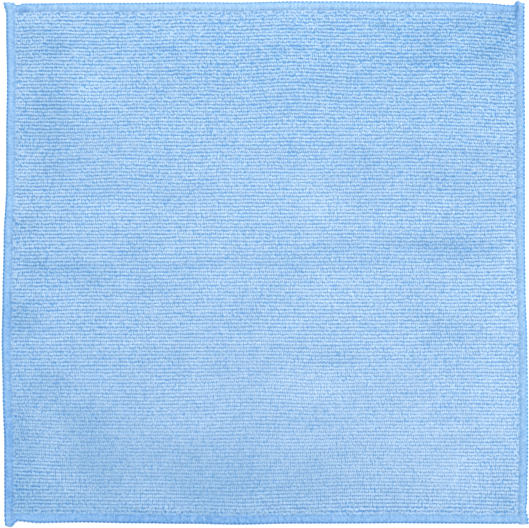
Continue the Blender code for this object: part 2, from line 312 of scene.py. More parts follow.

# Nap and painted light: the tone of patches where the pile is brushed or pressed and looks lighter or
# darker, and of patches painted lighter or darker where light and shade fall, such as the lighter far
# band, the darker near band and a painted shadow along the inner side of the far band
NAP_AND_LIGHT_STRENGTH = 1.12
NAP_AND_PAINTED_LIGHT = [Patch(*row) for row in (
    # darker: pressed or brushed down, and painted shade
    (0, -215, 500, 240, -0.023), (-180, -185, 40, 30, -0.03), (-60, -200, 170, 9, -0.03),
    (0, -205, 320, 95, -0.05), (-126, -190, 50, 22, -0.07), (-148, -142, 26, 20, -0.05),
    (42, -172, 40, 20, -0.05), (-50, -148, 70, 28, -0.03), (132, -162, 50, 26, -0.03),
    (-45, 55, 12, 8, -0.05), (140, 93, 22, 14, -0.04), (-132, 146, 14, 12, -0.04),
    (50, 143, 12, 9, -0.05), (128, 166, 14, 14, -0.04), (-90, 116, 50, 7, -0.03),
    (0, -80, 18, 9, -0.04), (-66, -88, 18, 12, -0.04), (-140, -10, 26, 24, -0.04),
    (-134, -60, 14, 30, -0.02), (191, 90, 9, 22, -0.06), (192, -5, 8, 16, -0.08),
    (188, -76, 12, 16, -0.05), (104, 128, 12, 10, -0.03), (-186, 193.6, 8, 4.2, -0.30),
    (-172, 166, 34, 30, -0.09), (-157, 166, 17, 13, -0.08), (-163, 118, 24, 38, -0.13),
    (-160, 75, 20, 28, -0.06), (-170, 100, 50, 66, -0.04), (-185, 100, 14, 12, -0.05),
    (-110, 148, 40, 10, -0.03), (-76, 163, 34, 9, -0.02), (12, 164, 30, 10, -0.03, 4),
    (-3, 157, 14, 10, -0.04), (92, 181, 14, 10, -0.10), (118, 155, 34, 13, -0.07, -5),
    (126, 173, 26, 16, -0.08), (150, 158, 40, 10, -0.05), (178, 168, 42, 18, -0.13, 40),
    (182, 188, 24, 16, -0.12), (155, 184, 26, 14, -0.10), (176, 142, 18, 14, -0.06),
    (192, 140, 10, 34, -0.10), (120, 92, 24, 9, -0.05, -20), (163, 83, 26, 14, -0.05),
    (78, 76, 30, 20, -0.06), (140, 62, 32, 14, -0.06, -15), (118, 15, 12, 10, -0.06),
    (146, 11, 46, 13, -0.10, -3), (60, 10, 60, 12, -0.04), (22, 1, 16, 16, -0.05),
    (-178, 1, 14, 12, -0.09), (-182, 30, 18, 12, -0.08), (-158, -3, 44, 12, -0.05),
    (-128, -12, 20, 16, -0.06), (-85, -20, 20, 12, -0.06, 10), (-100, 10, 16, 14, -0.03),
    (-66, 50, 22, 9, -0.05), (-188, -42, 26, 20, -0.12), (-165, -93, 30, 20, -0.08, 20),
    (-142, -121, 38, 22, -0.12, -20), (-110, -72, 60, 16, -0.04), (-64, -70, 16, 16, -0.05),
    (-32, -78, 16, 14, -0.04), (-190, -145, 32, 56, -0.14), (-175, -182, 50, 28, -0.11),
    (-130, -160, 44, 40, -0.12), (-108, -120, 44, 44, -0.06), (-60, -155, 100, 40, -0.06),
    (-42, -176, 50, 22, -0.08), (10, -166, 52, 36, -0.06), (0, -196, 200, 13, -0.07),
    (-80, -198, 100, 17, -0.10), (-200, -60, 80, 170, -0.06), (125, -43, 22, 12, -0.06, -10),
    (152, -56, 24, 11, -0.03, -5), (62, -72, 36, 11, -0.05), (-8, -42, 40, 10, -0.03),
    (40, -150, 26, 18, -0.05), (62, -144, 16, 14, -0.06), (134, -148, 22, 14, -0.06, 20),
    (184, -188, 14, 14, -0.08), (0, 192.5, 240, 4, -0.02),
    # lighter: lifted, and painted light
    (0, 215, 500, 190, 0.020), (0, 197.5, 240, 7, 0.13), (191, 136, 8, 14, 0.10),
    (20, 30, 180, 130, 0.022), (-162, 109, 16, 11, 0.05), (-80, 97, 24, 11, 0.03),
    (74, 13, 24, 10, 0.05), (122, 33, 12, 9, 0.03), (61, 37, 14, 10, 0.03), (-28, -10, 40, 14, 0.05),
    (25, -45, 26, 18, 0.03), (146, -60, 22, 14, 0.05), (150, -126, 44, 14, 0.04),
    (0, 107, 44, 14, 0.03), (-106, -15, 10, 8, 0.04), (-122, -126, 16, 12, 0.04),
    (172, 112, 20, 8, 0.03), (-184, 72, 12, 10, 0.04), (-124, 138, 34, 36, 0.06),
    (-72, 114, 60, 20, 0.03), (-118, 38, 36, 20, 0.06), (46, 46, 30, 12, 0.07, -5),
    (36, 34, 24, 14, 0.06), (12, 44, 70, 44, 0.04), (34, 62, 22, 14, 0.04), (85, 33, 44, 12, 0.05),
    (134, 44, 34, 12, 0.05), (100, 58, 14, 9, 0.05), (172, 32, 40, 16, 0.04), (60, 104, 40, 14, 0.04),
    (135, 96, 60, 14, 0.04), (178, 100, 20, 8, 0.04), (20, 172, 60, 10, 0.03), (-66, 172, 50, 10, 0.04),
    (-40, 84, 60, 30, 0.02), (-50, 32, 50, 34, 0.04), (-162, -42, 30, 44, 0.05),
    (-106, -64, 22, 9, 0.05), (-40, -26, 34, 22, 0.03), (14, -50, 20, 16, 0.05),
    (152, -28, 22, 20, 0.05), (186, -20, 34, 60, 0.08), (180, -62, 40, 60, 0.05),
    (180, -124, 26, 26, 0.06), (42, -28, 14, 26, 0.04), (90, -30, 110, 44, 0.04),
    (90, -66, 60, 22, 0.04), (45, -95, 60, 20, 0.07), (155, -96, 70, 34, 0.07),
    (145, -158, 52, 34, 0.09), (110, -122, 70, 20, 0.04), (-146, -170, 20, 18, 0.06),
)]

# Soft random changes of tone besides: seed, amount, and size along and across
NAP_LUMPS = ((NAP_SEED, 0.015, 24 * MM, 14 * MM), (FINE_NAP_SEED, 0.012, 9 * MM, 5 * MM))

# Where the pile is rougher or calmer
ROUGH = [Patch(*row) for row in (
    (30, 205, 320, 140, 0.42),
    (150, 160, 110, 80, 0.18),
    (0, -205, 330, 215, -0.76),
    (0, -10, 420, 130, -0.20),
    (150, -130, 120, 110, -0.08),
    (-150, -10, 80, 50, 0.06),
)]

# Where the rows bend, and how far towards +Y in millimetres
ROW_BENDS = [Patch(*row) for row in (
    (19, 145, 52, 75, 1.3),
    (205, 125, 75, 95, -1.9),
    (202, 172, 30, 34, -2.2),
    (-122, 72, 36, 40, 0.7),
    (-66, 72, 40, 44, -0.5),
    (-196, -139, 46, 50, 1.7),
    (70, -170, 110, 40, 1.2),
    (-10, -92, 46, 62, 0.9),
    (46, -95, 40, 50, -0.5),
)]

# The main creases, as lines from one place to another, in millimetres: half width, depth of the trough, or
# of a ridge if below 0, and tone, which is painted shade in a trough and a painted highlight on a ridge.
CreaseRow = namedtuple("CreaseRow", "x0 y0 x1 y1 width depth tone")
CREASES = [CreaseRow(*row) for row in (
    (-186, -2.9, -95, -1.7, 1.5, 0.16, -0.05),
    (-99, -1.7, 38, -1.3, 1.3, 0.42, -0.13),
    (36, -1.2, 66, 0.8, 1.3, 0.24, -0.08),
    (60, 0.8, 146, 1.5, 1.3, 0.40, -0.13),
    (20, -8.9, 160, -8.6, 1.5, -0.16, 0.06),
    (20, 12.5, 186, 14.0, 3.0, 0.16, -0.05),
    (-100, 164.4, -62, 163.6, 2.2, 0.30, -0.11),
    (-10, 164.0, 36, 163.6, 2.2, 0.30, -0.11),
    (92, 152.4, 154, 153.4, 2.2, 0.34, -0.12),
    (104, 148.6, 172, 149.6, 1.8, -0.18, 0.08),
    (-10, 139.4, 78, 139.4, 1.3, 0.24, -0.08),
    (-140, 50.8, -98, 51.2, 1.5, 0.24, -0.08),
    (-54, 97.6, 38, 97.9, 1.4, -0.16, 0.06),
    (-30, 27.3, 6, 27.0, 2.4, 0.26, -0.09),
    (-188, -60.0, 64, -61.2, 1.5, -0.18, 0.07),
    (118, -56.4, 154, -57.4, 2.2, 0.24, -0.08),
    (10, -119.6, 168, -119.9, 1.4, 0.20, -0.06),
    (112, -128.4, 186, -128.6, 1.6, -0.16, 0.05),
    (-11.6, -26, -10.4, -182, 1.8, 0.10, -0.035),
    # painted shade alone, in troughs along the side bands, where an ear is drawn in beside the hem
    (191.8, 206, 192.2, 182, 1.6, 0.0, -0.34),
    (192.9, 196, 193.6, 40, 1.3, 0.0, -0.03),
    (-193.2, -176, -193.8, -204, 1.0, 0.0, -0.10),
    (-195.4, -20, -196.2, -190, 1.4, 0.0, -0.07),
    (194.9, -16, 195.4, -178, 1.6, 0.0, -0.06),
    (4, 195.2, 172, 194.8, 1.4, 0.0, -0.07),
)]
CREASE_FADE = 9 * MM  # how far from its ends a crease dies away
CREASE_SPREAD = 1.8  # how far it reaches to each side, in half widths
CREASE_STRENGTH = 0.8  # how strong it is, and how unevenly along it
CREASE_UNEVEN = 0.45
CREASE_LUMPS = 6 * MM


def ease(t):
    """Goes smoothly from 0 to 1 as t does, and stays there outside."""
    t = np.clip(t, 0.0, 1.0)
    return t * t * (3.0 - 2.0 * t)


def fade(distance, reach):
    """1 at distance 0, falling smoothly to 0 at reach."""
    return 1.0 - ease(distance / reach)


def hump(r_squared):
    """A soft hump: 1 in the middle, and 0 from r = 1 outwards."""
    return np.maximum(0.0, 1.0 - r_squared) ** 2


def share(least, rough):
    """The share of an effect that is there: 1 at roughness 1, and least at 0."""
    return least + (1.0 - least) * rough


def read(table, place, column):
    """A column of a table of rows in millimetres, read in metres at places."""
    keys = np.array([row[0] for row in table], float)
    values = np.array([getattr(row, column) for row in table], float)
    at = np.asarray(place) / MM
    i = np.clip(np.searchsorted(keys, at) - 1, 0, len(keys) - 2)
    t = ease((at - keys[i]) / (keys[i + 1] - keys[i]))
    return ((1.0 - t) * values[i] + t * values[i + 1]) * MM


def patches(table, x, y):
    """The sum of a table's patches at places."""
    total = np.zeros(np.shape(x))
    for row in table:
        dx = x / MM - row.x
        dy = y / MM - row.y
        cos = math.cos(math.radians(row.turn))
        sin = math.sin(math.radians(row.turn))
        along = (dx * cos + dy * sin) / row.along
        across = (dy * cos - dx * sin) / row.across
        total = total + row.amount * hump(along**2 + across**2)
    return total


def unevenness(seed, x, y, size_x, size_y=None):
    """Soft random unevenness from -1 to 1, in lumps of the given size."""
    table = np.random.default_rng(seed).uniform(-1.0, 1.0, (LUMPS, LUMPS))
    gx = x / size_x + LUMPS_START[0]
    gy = y / (size_y or size_x) + LUMPS_START[1]
    ix = np.floor(gx).astype(int)
    iy = np.floor(gy).astype(int)
    tx = ease(gx - ix)
    ty = ease(gy - iy)

    def corner(dx, dy):
        return table[(ix + dx) % LUMPS, (iy + dy) % LUMPS]

    low = corner(0, 0) * (1 - tx) + corner(1, 0) * tx
    high = corner(0, 1) * (1 - tx) + corner(1, 1) * tx
    return low * (1 - ty) + high * ty


def drawn(u, v):
    """Places of the cut square moved to the cloth's outline, before it is centred."""
    x = u - read(EDGE_DRIFT, v, "left") * fade(HALF + u, DRIFT_REACH)
    x = x + read(EDGE_DRIFT, v, "right") * fade(HALF - u, DRIFT_REACH)
    y = v - read(EDGE_DRIFT, u, "near") * fade(HALF + v, DRIFT_REACH)
    y = y + read(EDGE_DRIFT, u, "far") * fade(HALF - v, DRIFT_REACH)
    for corner in CORNERS:
        from_side = HALF - corner.x_side * u
        from_end = HALF - corner.y_side * v
        across = np.abs(from_side - corner.tip * MM) / (corner.width * MM / 2)
        rounded = np.maximum(0.0, 1.0 - across**corner.point) ** (1.0 / corner.point)
        ear = corner.ear * MM * rounded * fade(from_end, EAR_REACH)
        beside = ease((from_side - NOTCH_START * EAR) / ((1.0 - NOTCH_START) * EAR))
        along = (from_side - EAR) / (corner.notch_end * MM - EAR)
        notch = corner.notch * MM * beside * fade(along, 1.0) * fade(from_end, EAR_REACH)
        lean = corner.lean * MM * fade(from_end, LEAN_REACH) * fade(from_side, EAR_REACH)
        waist = corner.waist * MM * fade(abs(from_end - WAIST_AT), WAIST_REACH)
        y = y + corner.y_side * (ear - notch)
        x = x + corner.x_side * (lean - waist * fade(from_side, EAR_REACH))
    return x, y


class Form:
    """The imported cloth: where a place of the cut square lies, and how high."""

    def __init__(self, node):
        mesh = node.data
        points = [tuple(vert.co) for vert in mesh.vertices]
        self.tree = BVHTree.FromPolygons(points, [tuple(face.vertices) for face in mesh.polygons])
        run = np.linspace(-HALF, HALF, OUTLINE_STEPS)
        rim = np.full(OUTLINE_STEPS, HALF)
        outline = [drawn(run, rim), drawn(run, -rim), drawn(rim, run), drawn(-rim, run)]
        x = np.concatenate([side[0] for side in outline])
        y = np.concatenate([side[1] for side in outline])
        self.middle = ((x.min() + x.max()) / 2, (y.min() + y.max()) / 2)

    def place(self, u, v):
        """Where places of the cut square lie."""
        x, y = drawn(u, v)
        return x - self.middle[0], y - self.middle[1]

    def height(self, x, y, start, way):
        """The height of the side that a ray from start meets, or of the side just inwards."""
        for _ in range(TRIES):
            hit = self.tree.ray_cast(Vector((x, y, start)), way)[0]
            if hit is not None:
                return hit.z
            x *= INWARDS
            y *= INWARDS
        return MIDDLE_HEIGHT

    def heights(self, x, y, up):
        """Heights of the top side, or of the underside where up is False."""
        start = CLEAR if up else -CLEAR
        way = Vector((0, 0, -1)) if up else Vector((0, 0, 1))
        places = zip(np.ravel(x).tolist(), np.ravel(y).tolist())
        found = np.array([self.height(px, py, start, way) for px, py in places])
        return found.reshape(np.shape(x))


def mesh_piece(name, points, faces, material, attributes, uv):
    """A piece of faces that all have as many corners.

    The attributes hold values for its points, and uv the places of the faces'
    corners in the colour bake.
    """
    mesh = bpy.data.meshes.new(name)
    mesh.vertices.add(len(points))
    mesh.vertices.foreach_set("co", np.asarray(points, np.float32).ravel())
    corners = faces.shape[1]
    mesh.loops.add(faces.size)
    mesh.loops.foreach_set("vertex_index", faces.astype(np.int32).ravel())
    mesh.polygons.add(len(faces))
    mesh.polygons.foreach_set("loop_start", np.arange(0, faces.size, corners, dtype=np.int32))
    mesh.update(calc_edges=True)
    for key, values in attributes.items():
        layer = mesh.attributes.new(key, "FLOAT", "POINT")
        layer.data.foreach_set("value", np.asarray(values, np.float32).ravel())
    layer = mesh.uv_layers.new(name="OFBake")
    layer.uv.foreach_set("vector", np.asarray(uv, np.float32).ravel())
    mesh.shade_smooth()
    mesh.materials.append(material)
    piece = bpy.data.objects.new(name, mesh)
    bpy.context.scene.collection.objects.link(piece)
    return piece


def cells(local, first, count, total):
    """Places in the bake for count like things, each in a cell of its own.

    They are the things from number first on, of total. The local places are one
    thing's own, from 0 to 1.
    """
    across = math.ceil(math.sqrt(total))
    index = np.arange(first, first + count)
    corner = np.stack([index % across, index // across], -1)[:, None]
    inside = CELL_MARGIN + (1.0 - 2 * CELL_MARGIN) * local[None]
    return ((corner + inside) / across).reshape(-1, 2)


def creases(x, y, column):
    """The depth or the tone of the main creases at places, uneven along them. The tone is painted shade in
    troughs and a painted highlight on ridges.
    """
    total = np.zeros(np.shape(x))
    for i, row in enumerate(CREASES):
        dx = (row.x1 - row.x0) * MM
        dy = (row.y1 - row.y0) * MM
        length = math.hypot(dx, dy)
        along = ((x - row.x0 * MM) * dx + (y - row.y0 * MM) * dy) / length
        aside = ((x - row.x0 * MM) * dy - (y - row.y0 * MM) * dx) / length
        ends = ease(along / CREASE_FADE) * ease((length - along) / CREASE_FADE)
        uneven = CREASE_STRENGTH + CREASE_UNEVEN * unevenness(CREASE_SEED + i, x, y, CREASE_LUMPS)
        across = hump((aside / (CREASE_SPREAD * row.width * MM)) ** 2)
        total = total + getattr(row, column) * ends * uneven * across
    return total


def nap_and_painted_light(x, y):
    """How much lighter or darker the yarn looks at places: by its nap, by painted light and shade in
    patches, and by painted shade in creases and painted highlight on their ridges.
    """
    tone = NAP_AND_LIGHT_STRENGTH * patches(NAP_AND_PAINTED_LIGHT, x, y) + creases(x, y, "tone")
    for seed, strength, along, across in NAP_LUMPS:
        tone = tone + strength * unevenness(seed, x, y, along, across)
    return tone


def ground_lines(step):
    """Lines across the ground: close together along the edges, and step apart between."""
    rim = [HALF - inset * MM for inset in RIM_INSETS]
    inner = rim[-1]
    count = round(2 * inner / step)
    field = [-inner + 2 * inner * i / count for i in range(1, count)]
    return np.array([-place for place in rim] + field + rim[::-1])


def ground_sheet(form, material):
    """The knitted ground: one closed sheet that the pile stands on, ribbed below."""
    along = ground_lines(GROUND_STEP)
    across = ground_lines(ROW_PITCH / 2)
    uu, vv = (grid.ravel() for grid in np.meshgrid(along, across, indexing="ij"))
    groove = np.tile(np.arange(len(across)), len(along)) % 2
    x, y = form.place(uu, vv)
    inset = HALF - np.maximum(np.abs(uu), np.abs(vv))
    top = form.heights(x, y, True)
    under = form.heights(x, y, False)
    inside = ease((inset - BAND) / BAND_SLOPE)
    high = top - (BAND_SINK + (PILE_DEPTH - BAND_SINK) * inside)
    low = under + REVERSE_RISE + inside * (RIB_RISE + RIB * groove)
    rim = np.isclose(inset, RIM_INSETS[0] * MM)
    high = np.where(rim, (top + under) / 2, np.maximum(high, low + GROUND_LEAST))
    points = np.concatenate([np.c_[x, y, high], np.c_[x, y, low][~rim]])
    on_top = np.arange(len(x))
    below = np.where(rim, on_top, len(x) + np.cumsum(~rim) - 1)
    grid = on_top.reshape(len(along), len(across))
    quads = np.stack([grid[:-1, :-1], grid[1:, :-1], grid[1:, 1:], grid[:-1, 1:]], -1).reshape(-1, 4)
    faces = np.concatenate([quads, below[quads][:, ::-1]])
    flat = (np.c_[uu, vv] / (2 * HALF) + 0.5) * HALF_BAKE
    uv = np.concatenate([flat[quads] + TOP_BAKE, flat[quads][:, ::-1] + REVERSE_BAKE])
    # painted shade: the knit between the loops is in full shade, and the reverse side's grooves partly
    reverse = REVERSE_TINT + RIB_TINT * (1 - groove)
    rise = np.concatenate([BAND_TINT * (1.0 - inside), reverse[~rim]])
    tone = nap_and_painted_light(points[:, 0], points[:, 1])
    return mesh_piece("knit_ground", points, faces, material, {"rise": rise, "tone": tone}, uv)


def furrows(random, rows, loops):
    """How much wider each furrow is beside each loop: mostly shut, and open here and there."""
    return np.minimum(random.gamma(FURROW_RARE, FURROW_OPEN, (rows + 1, loops)), FURROW_MOST)


def row_bend(uu, vv, rough):
    """How far the rows are bent towards +Y at places."""
    bend = MM * patches(ROW_BENDS, uu, vv) + BEND * unevenness(BEND_SEED, uu, vv, BEND_SIZE)
    wave = WAVE * unevenness(WAVE_SEED, uu, vv, WAVE_ALONG, WAVE_ACROSS)
    from_band = HALF - np.abs(vv) - PILE_INSET
    return share(BEND_LEAST, ease(from_band / BEND_REACH)) * (bend + share(WAVE_LEAST, rough) * wave)


Loops = namedtuple("Loops", "x y half_length rough row rows")


def pile_places(form):
    """Where each loop stands, its half length, its roughness and its row."""
    random = np.random.default_rng(PLACE_SEED)
    reach = HALF - PILE_INSET
    rows = round(2 * reach / ROW_PITCH)
    loops = round(2 * reach / LOOP_PITCH)
    pitch = 2 * reach / rows
    v0 = (np.arange(rows) - (rows - 1) / 2) * pitch
    v0 = v0 - ROW_SPREAD * (v0**2 - reach**2) / (2 * reach)
    u0 = (np.arange(loops) - (loops - 1) / 2) * (2 * reach / loops)
    vv, uu = (grid.ravel() for grid in np.meshgrid(v0, u0, indexing="ij"))
    row = np.repeat(np.arange(rows), loops)
    inset = reach - np.maximum(np.abs(uu), np.abs(vv))
    rough = (1.0 + patches(ROUGH, uu, vv)) * (1.0 - BAND_CALM * fade(inset, BAND_CALM_REACH))
    opening = furrows(random, rows, loops)
    above = rough * (rough * FURROW + opening[1:].ravel())
    below = rough * (rough * FURROW + opening[:-1].ravel())
    half_length = (pitch * (1.0 - ROW_SPREAD * vv / reach) - (above + below) / 2) / 2
    half_length = half_length * (1.0 + CALM_SPREAD * np.maximum(0.0, 1.0 - rough))
    du = ease((reach - np.abs(uu)) / SWAY_REACH) * SWAY * unevenness(SWAY_SEED, uu, vv, SWAY_SIZE)
    du = du + LOOP_PITCH * random.uniform(-0.5, 0.5, rows)[row]
    du = du + LOOP_PITCH * random.normal(0.0, PITCH_UNEVEN, len(uu))
    out_of_row = ROW_UNEVEN * rough + FUZZY * fade(inset, FUZZY_REACH)
    dv = row_bend(uu, vv, rough) + (below - above) / 4
    dv = dv + out_of_row * ROW_PITCH * random.normal(0.0, 1.0, len(vv))
    x, y = form.place(uu + du, vv + dv)
    return Loops(x, y, half_length, rough, row, rows)


def loop_points(form, loops, random):
    """The points of every loop: its outline at each ring, uneven and turned, and its tip."""
    x, y, half_length, rough = loops[:4]
    count = len(x)
    top = form.heights(x, y, True) - MM * creases(x, y, "depth")
    tip = top + random.normal(-TIP_UNEVEN, TIP_UNEVEN, count) * rough
    root = top - PILE_DEPTH - ROOT_SINK
    half_width = LOOP_WIDTH / 2 * random.normal(1.0, WIDTH_UNEVEN, count)
    turn = random.normal(0.0, LOOP_TURN, count)[:, None]
    lean_x = random.normal(0.0, LOOP_LEAN, count)
    lean_y = random.normal(0.0, LOOP_LEAN, count) * rough
    blocks = []
    for ring in LOOP_RINGS:
        uneven = random.normal(0.0, LOOP_UNEVEN, (count, LOOP_SIDES))
        uneven = 1.0 + share(LOOP_UNEVEN_LEAST, rough)[:, None] * uneven
        ex = LOOP_OUTLINE[:, 0] * ring.width * half_width[:, None] * uneven
        ey = LOOP_OUTLINE[:, 1] * ring.length * half_length[:, None] * uneven
        px = (x + ring.height * lean_x)[:, None] + ex * np.cos(turn) - ey * np.sin(turn)
        py = (y + ring.height * lean_y)[:, None] + ex * np.sin(turn) + ey * np.cos(turn)
        pz = (root + (tip - root) * ring.height)[:, None]
        pz = pz + ring.height * random.normal(0.0, RING_UNEVEN, (count, LOOP_SIDES))
        blocks.append(np.stack([px, py, pz], -1))
    apex = np.stack([x + lean_x, y + lean_y, tip], -1)[:, None]
    return np.concatenate([*blocks, apex], 1)


def loop_values(loops, random):
    """How near its lighter colour each point of every loop is, the rest being painted shade, and its tone.
    """
    rough = loops.rough[:, None]
    tints = np.repeat([ring.tint for ring in LOOP_RINGS], LOOP_SIDES)
    tints = np.append(tints, 1.0)
    size = (len(rough), len(tints))
    # painted shade: full at each loop's root, and in random specks, less of it in calm pile
    specks = random.gamma(SPECKS_RARE, SHADE_SPECKS, size) * rough
    rise = 1.0 - (1.0 - np.clip(tints - specks, 0.0, 1.0)) * share(SHADE_LEAST, rough)
    tone = nap_and_painted_light(loops.x, loops.y)[:, None] + random.normal(0.0, FIBRE_MOTTLE, size) * rough
    return rise, tone


def loop_faces():
    """One loop's faces, and the places of their corners in its cell of the bake."""
    k = np.arange(LOOP_SIDES)
    after = (k + 1) % LOOP_SIDES
    tip = np.full(LOOP_SIDES, 2 * LOOP_SIDES)
    faces = np.concatenate([
        np.stack([k, after, after + LOOP_SIDES], 1),
        np.stack([k, after + LOOP_SIDES, k + LOOP_SIDES], 1),
        np.stack([k + LOOP_SIDES, after + LOOP_SIDES, tip], 1),
    ])
    outer = LOOP_OUTLINE / np.linalg.norm(LOOP_OUTLINE, axis=1, keepdims=True)
    local = np.concatenate([outer, INNER_RING * outer, [(0.0, 0.0)]]) / 2 + 0.5
    return faces, local[faces.ravel()]


def pile(form, material):
    """The loops, each an uneven flat dome on the ground, in pieces of many rows."""
    random = np.random.default_rng(LOOP_SEED)
    loops = pile_places(form)
    points = loop_points(form, loops, random)
    rise, tone = loop_values(loops, random)
    faces, local = loop_faces()
    pieces = []
    for part in range(PILE_PARTS):
        mine = (loops.row * PILE_PARTS) // loops.rows == part
        block = points[mine]
        first_points = block.shape[1] * np.arange(len(block))[:, None, None]
        index = (faces[None] + first_points).reshape(-1, 3)
        values = {"rise": rise[mine], "tone": tone[mine]}
        uv = cells(local, 0, len(block), len(block))
        pieces.append(mesh_piece(f"pile_{part + 1}", block.reshape(-1, 3), index, material, values, uv))
    return pieces


def tube_faces(steps):
    """One closed tube's faces, and the places of their corners in its cell of the bake."""
    k = np.arange(TUBE_SIDES)
    after = (k + 1) % TUBE_SIDES
    step = np.arange(steps - 1)[:, None, None] * TUBE_SIDES
    sides = np.stack([k, k + TUBE_SIDES, after + TUBE_SIDES, after], -1)
    sides = (step + sides).reshape(-1, 4)
    other_end = (steps - 1) * TUBE_SIDES + TUBE_END[:, ::-1]
    s = np.repeat(np.arange(steps - 1), TUBE_SIDES) / (steps - 1)
    r = np.tile(k, steps - 1) / TUBE_SIDES
    ds = 1 / (steps - 1)
    dr = 1 / TUBE_SIDES
    square = np.stack([np.c_[s, r], np.c_[s + ds, r], np.c_[s + ds, r + dr], np.c_[s, r + dr]], 1)
    angle = k * 2 * math.pi / TUBE_SIDES
    end = END_BAKE + END_BAKE_SIZE * np.stack([np.cos(angle), np.sin(angle)], -1)
    end = end[TUBE_END]
    local = np.concatenate([square * SIDES_BAKE, end, end[:, ::-1] + OTHER_END_BAKE])
    return np.concatenate([sides, TUBE_END, other_end]), local.reshape(-1, 2)


class Strands:
    """Many closed tubes, gathered into one mesh."""

    def __init__(self, random):
        self.random = random
        self.points, self.faces, self.rise, self.tone, self.local = [], [], [], [], []
        self.base = 0

    def add(self, paths, normals, widths, heights, rise, tone):
        """Tubes along paths of shape (tube, step, 3), with their height along the normals."""
        count, steps, _ = paths.shape
        tangent = np.gradient(paths, axis=1)
        tangent /= np.linalg.norm(tangent, axis=2, keepdims=True) + TINY
        across = np.cross(tangent, normals)
        across /= np.linalg.norm(across, axis=2, keepdims=True) + TINY
        up = np.cross(across, tangent)
        angle = (np.arange(TUBE_SIDES) * 2 * math.pi / TUBE_SIDES)[:, None]
        ring = (
            paths[:, :, None]
            + across[:, :, None] * (np.cos(angle) * (widths / 2)[:, :, None, None])
            + up[:, :, None] * (np.sin(angle) * (heights / 2)[:, :, None, None])
        )
        faces, local = tube_faces(steps)
        faces = faces[None] + (np.arange(count) * steps * TUBE_SIDES)[:, None, None]
        self.points.append(ring.reshape(-1, 3))
        self.faces.append(faces.reshape(-1, 4) + self.base)
        self.base += count * steps * TUBE_SIDES
        self.rise.append(np.repeat(np.broadcast_to(rise, (count, steps)), TUBE_SIDES, 1).ravel())
        mottle = self.random.normal(0.0, STRAND_MOTTLE, (count, steps, TUBE_SIDES))
        self.tone.append((np.broadcast_to(tone, (count, steps))[:, :, None] + mottle).ravel())
        self.local.append((count, local))

    def piece(self, name, material):
        """All the tubes as one piece."""
        total = sum(count for count, _ in self.local)
        uv = []
        first = 0
        for count, local in self.local:
            uv.append(cells(local, first, count, total))
            first += count
        points = np.concatenate(self.points)
        faces = np.concatenate(self.faces)
        values = {"rise": np.concatenate(self.rise), "tone": np.concatenate(self.tone)}
        return mesh_piece(name, points, faces, material, values, np.concatenate(uv))


def beside(form, side, along, inset):
    """Places along a side, at an inset from its edge."""
    from_middle = side.sign * (HALF - inset) + 0 * along
    if side.axis == 0:
        return form.place(from_middle, along)
    return form.place(along, from_middle)


def looper_normals(side):
    """Which way a looper strand's face looks at each step: up, outwards and then down."""
    steps = np.arange(len(LOOPER_INSETS))[:, None]
    outward = np.zeros(3)
    outward[side.axis] = side.sign
    facing = np.where(steps < EDGE_STEP, (0, 0, 1), (0, 0, -1))
    tilt = np.where(np.abs(steps - EDGE_STEP) <= 1, EDGE_TILT, 0.0)
    return np.where(steps == EDGE_STEP, outward, facing + tilt * outward)


def loopers(form, side, strands, reach, go, come):
    """One looper strand in each stitch of a side, over the edge and back below."""
    random = strands.random
    stitches = round(2 * reach / STITCH)
    pitch = 2 * reach / stitches
    start = -reach + pitch * np.arange(stitches)[:, None]
    steps = np.arange(len(LOOPER_INSETS))
    outwards = ((BAND - LOOPER_INSETS) / BAND)[None]
    lean = go + (come - go) * outwards
    along = start + pitch * (lean + random.normal(0.0, LOOPER_UNEVEN, (stitches, 1)))
    ragged = 1.0 + fade(outwards, RAGGED_SHARE) * random.normal(0.0, RAGGED, (stitches, 1))
    x, y = beside(form, side, along, LOOPER_INSETS * ragged)
    top = form.heights(x, y, True)
    under = form.heights(x, y, False)
    inwards = np.where(steps < EDGE_STEP, -1.0, 1.0)  # down from the top, up from below
    z = np.where(steps < EDGE_STEP, top, under) + inwards * STRAND_HEIGHT / 2
    z = np.where(steps == EDGE_STEP, (top + under) / 2, z)
    z = z + inwards * (1.0 - LOOPER_TAPER) * LOOPER_DIVE
    apart = np.hypot(np.gradient(x, axis=0), np.gradient(y, axis=0)) / pitch
    width = STRAND_WIDTH * random.normal(1.0, STRAND_UNEVEN, (stitches, 1)) * apart * LOOPER_TAPER
    height = np.full(along.shape, STRAND_HEIGHT) * LOOPER_TAPER
    tone = nap_and_painted_light(x, y) + random.normal(0.0, STRAND_STREAK, (stitches, 1))
    normals = np.repeat(looper_normals(side)[None], stitches, 0)
    # the looper tints paint shade where a strand turns round the edge and where its ends dive into the
    # knit
    strands.add(np.stack([x, y, z], -1), normals, width, height, LOOPER_TINTS[None], tone)


def upwards(steps):
    """Normals for one tube that lies flat."""
    return np.broadcast_to((0.0, 0.0, 1.0), (1, steps, 3))


def chain(form, side, strands, row, end, tint):
    """A chain of thread along a side, swelling once in each stitch."""
    count = round(2 * end / STITCH) * row.steps
    along = np.linspace(-end, end, count + 1)
    swell = np.cos(np.arange(count + 1) * 2 * math.pi / row.steps)
    x, y = beside(form, side, along, row.inset * MM)
    top = form.heights(x, y, True)
    under = form.heights(x, y, False)
    z = under + (top - under) * row.level
    thick = (row.thick * MM * (1.0 + row.swell * swell))[None]
    tone = (nap_and_painted_light(x, y) + strands.random.normal(0.0, STRAND_STREAK, count + 1))[None]
    # painted shade at the chain's thin places, lighter at its swells; the beads' darkest parts are lighter
    # on the far side as painted light
    rise = tint + row.tint_swell * (1.0 + swell)[None]
    strands.add(np.stack([x, y, z], -1)[None], upwards(count + 1), thick, thick, rise, tone)


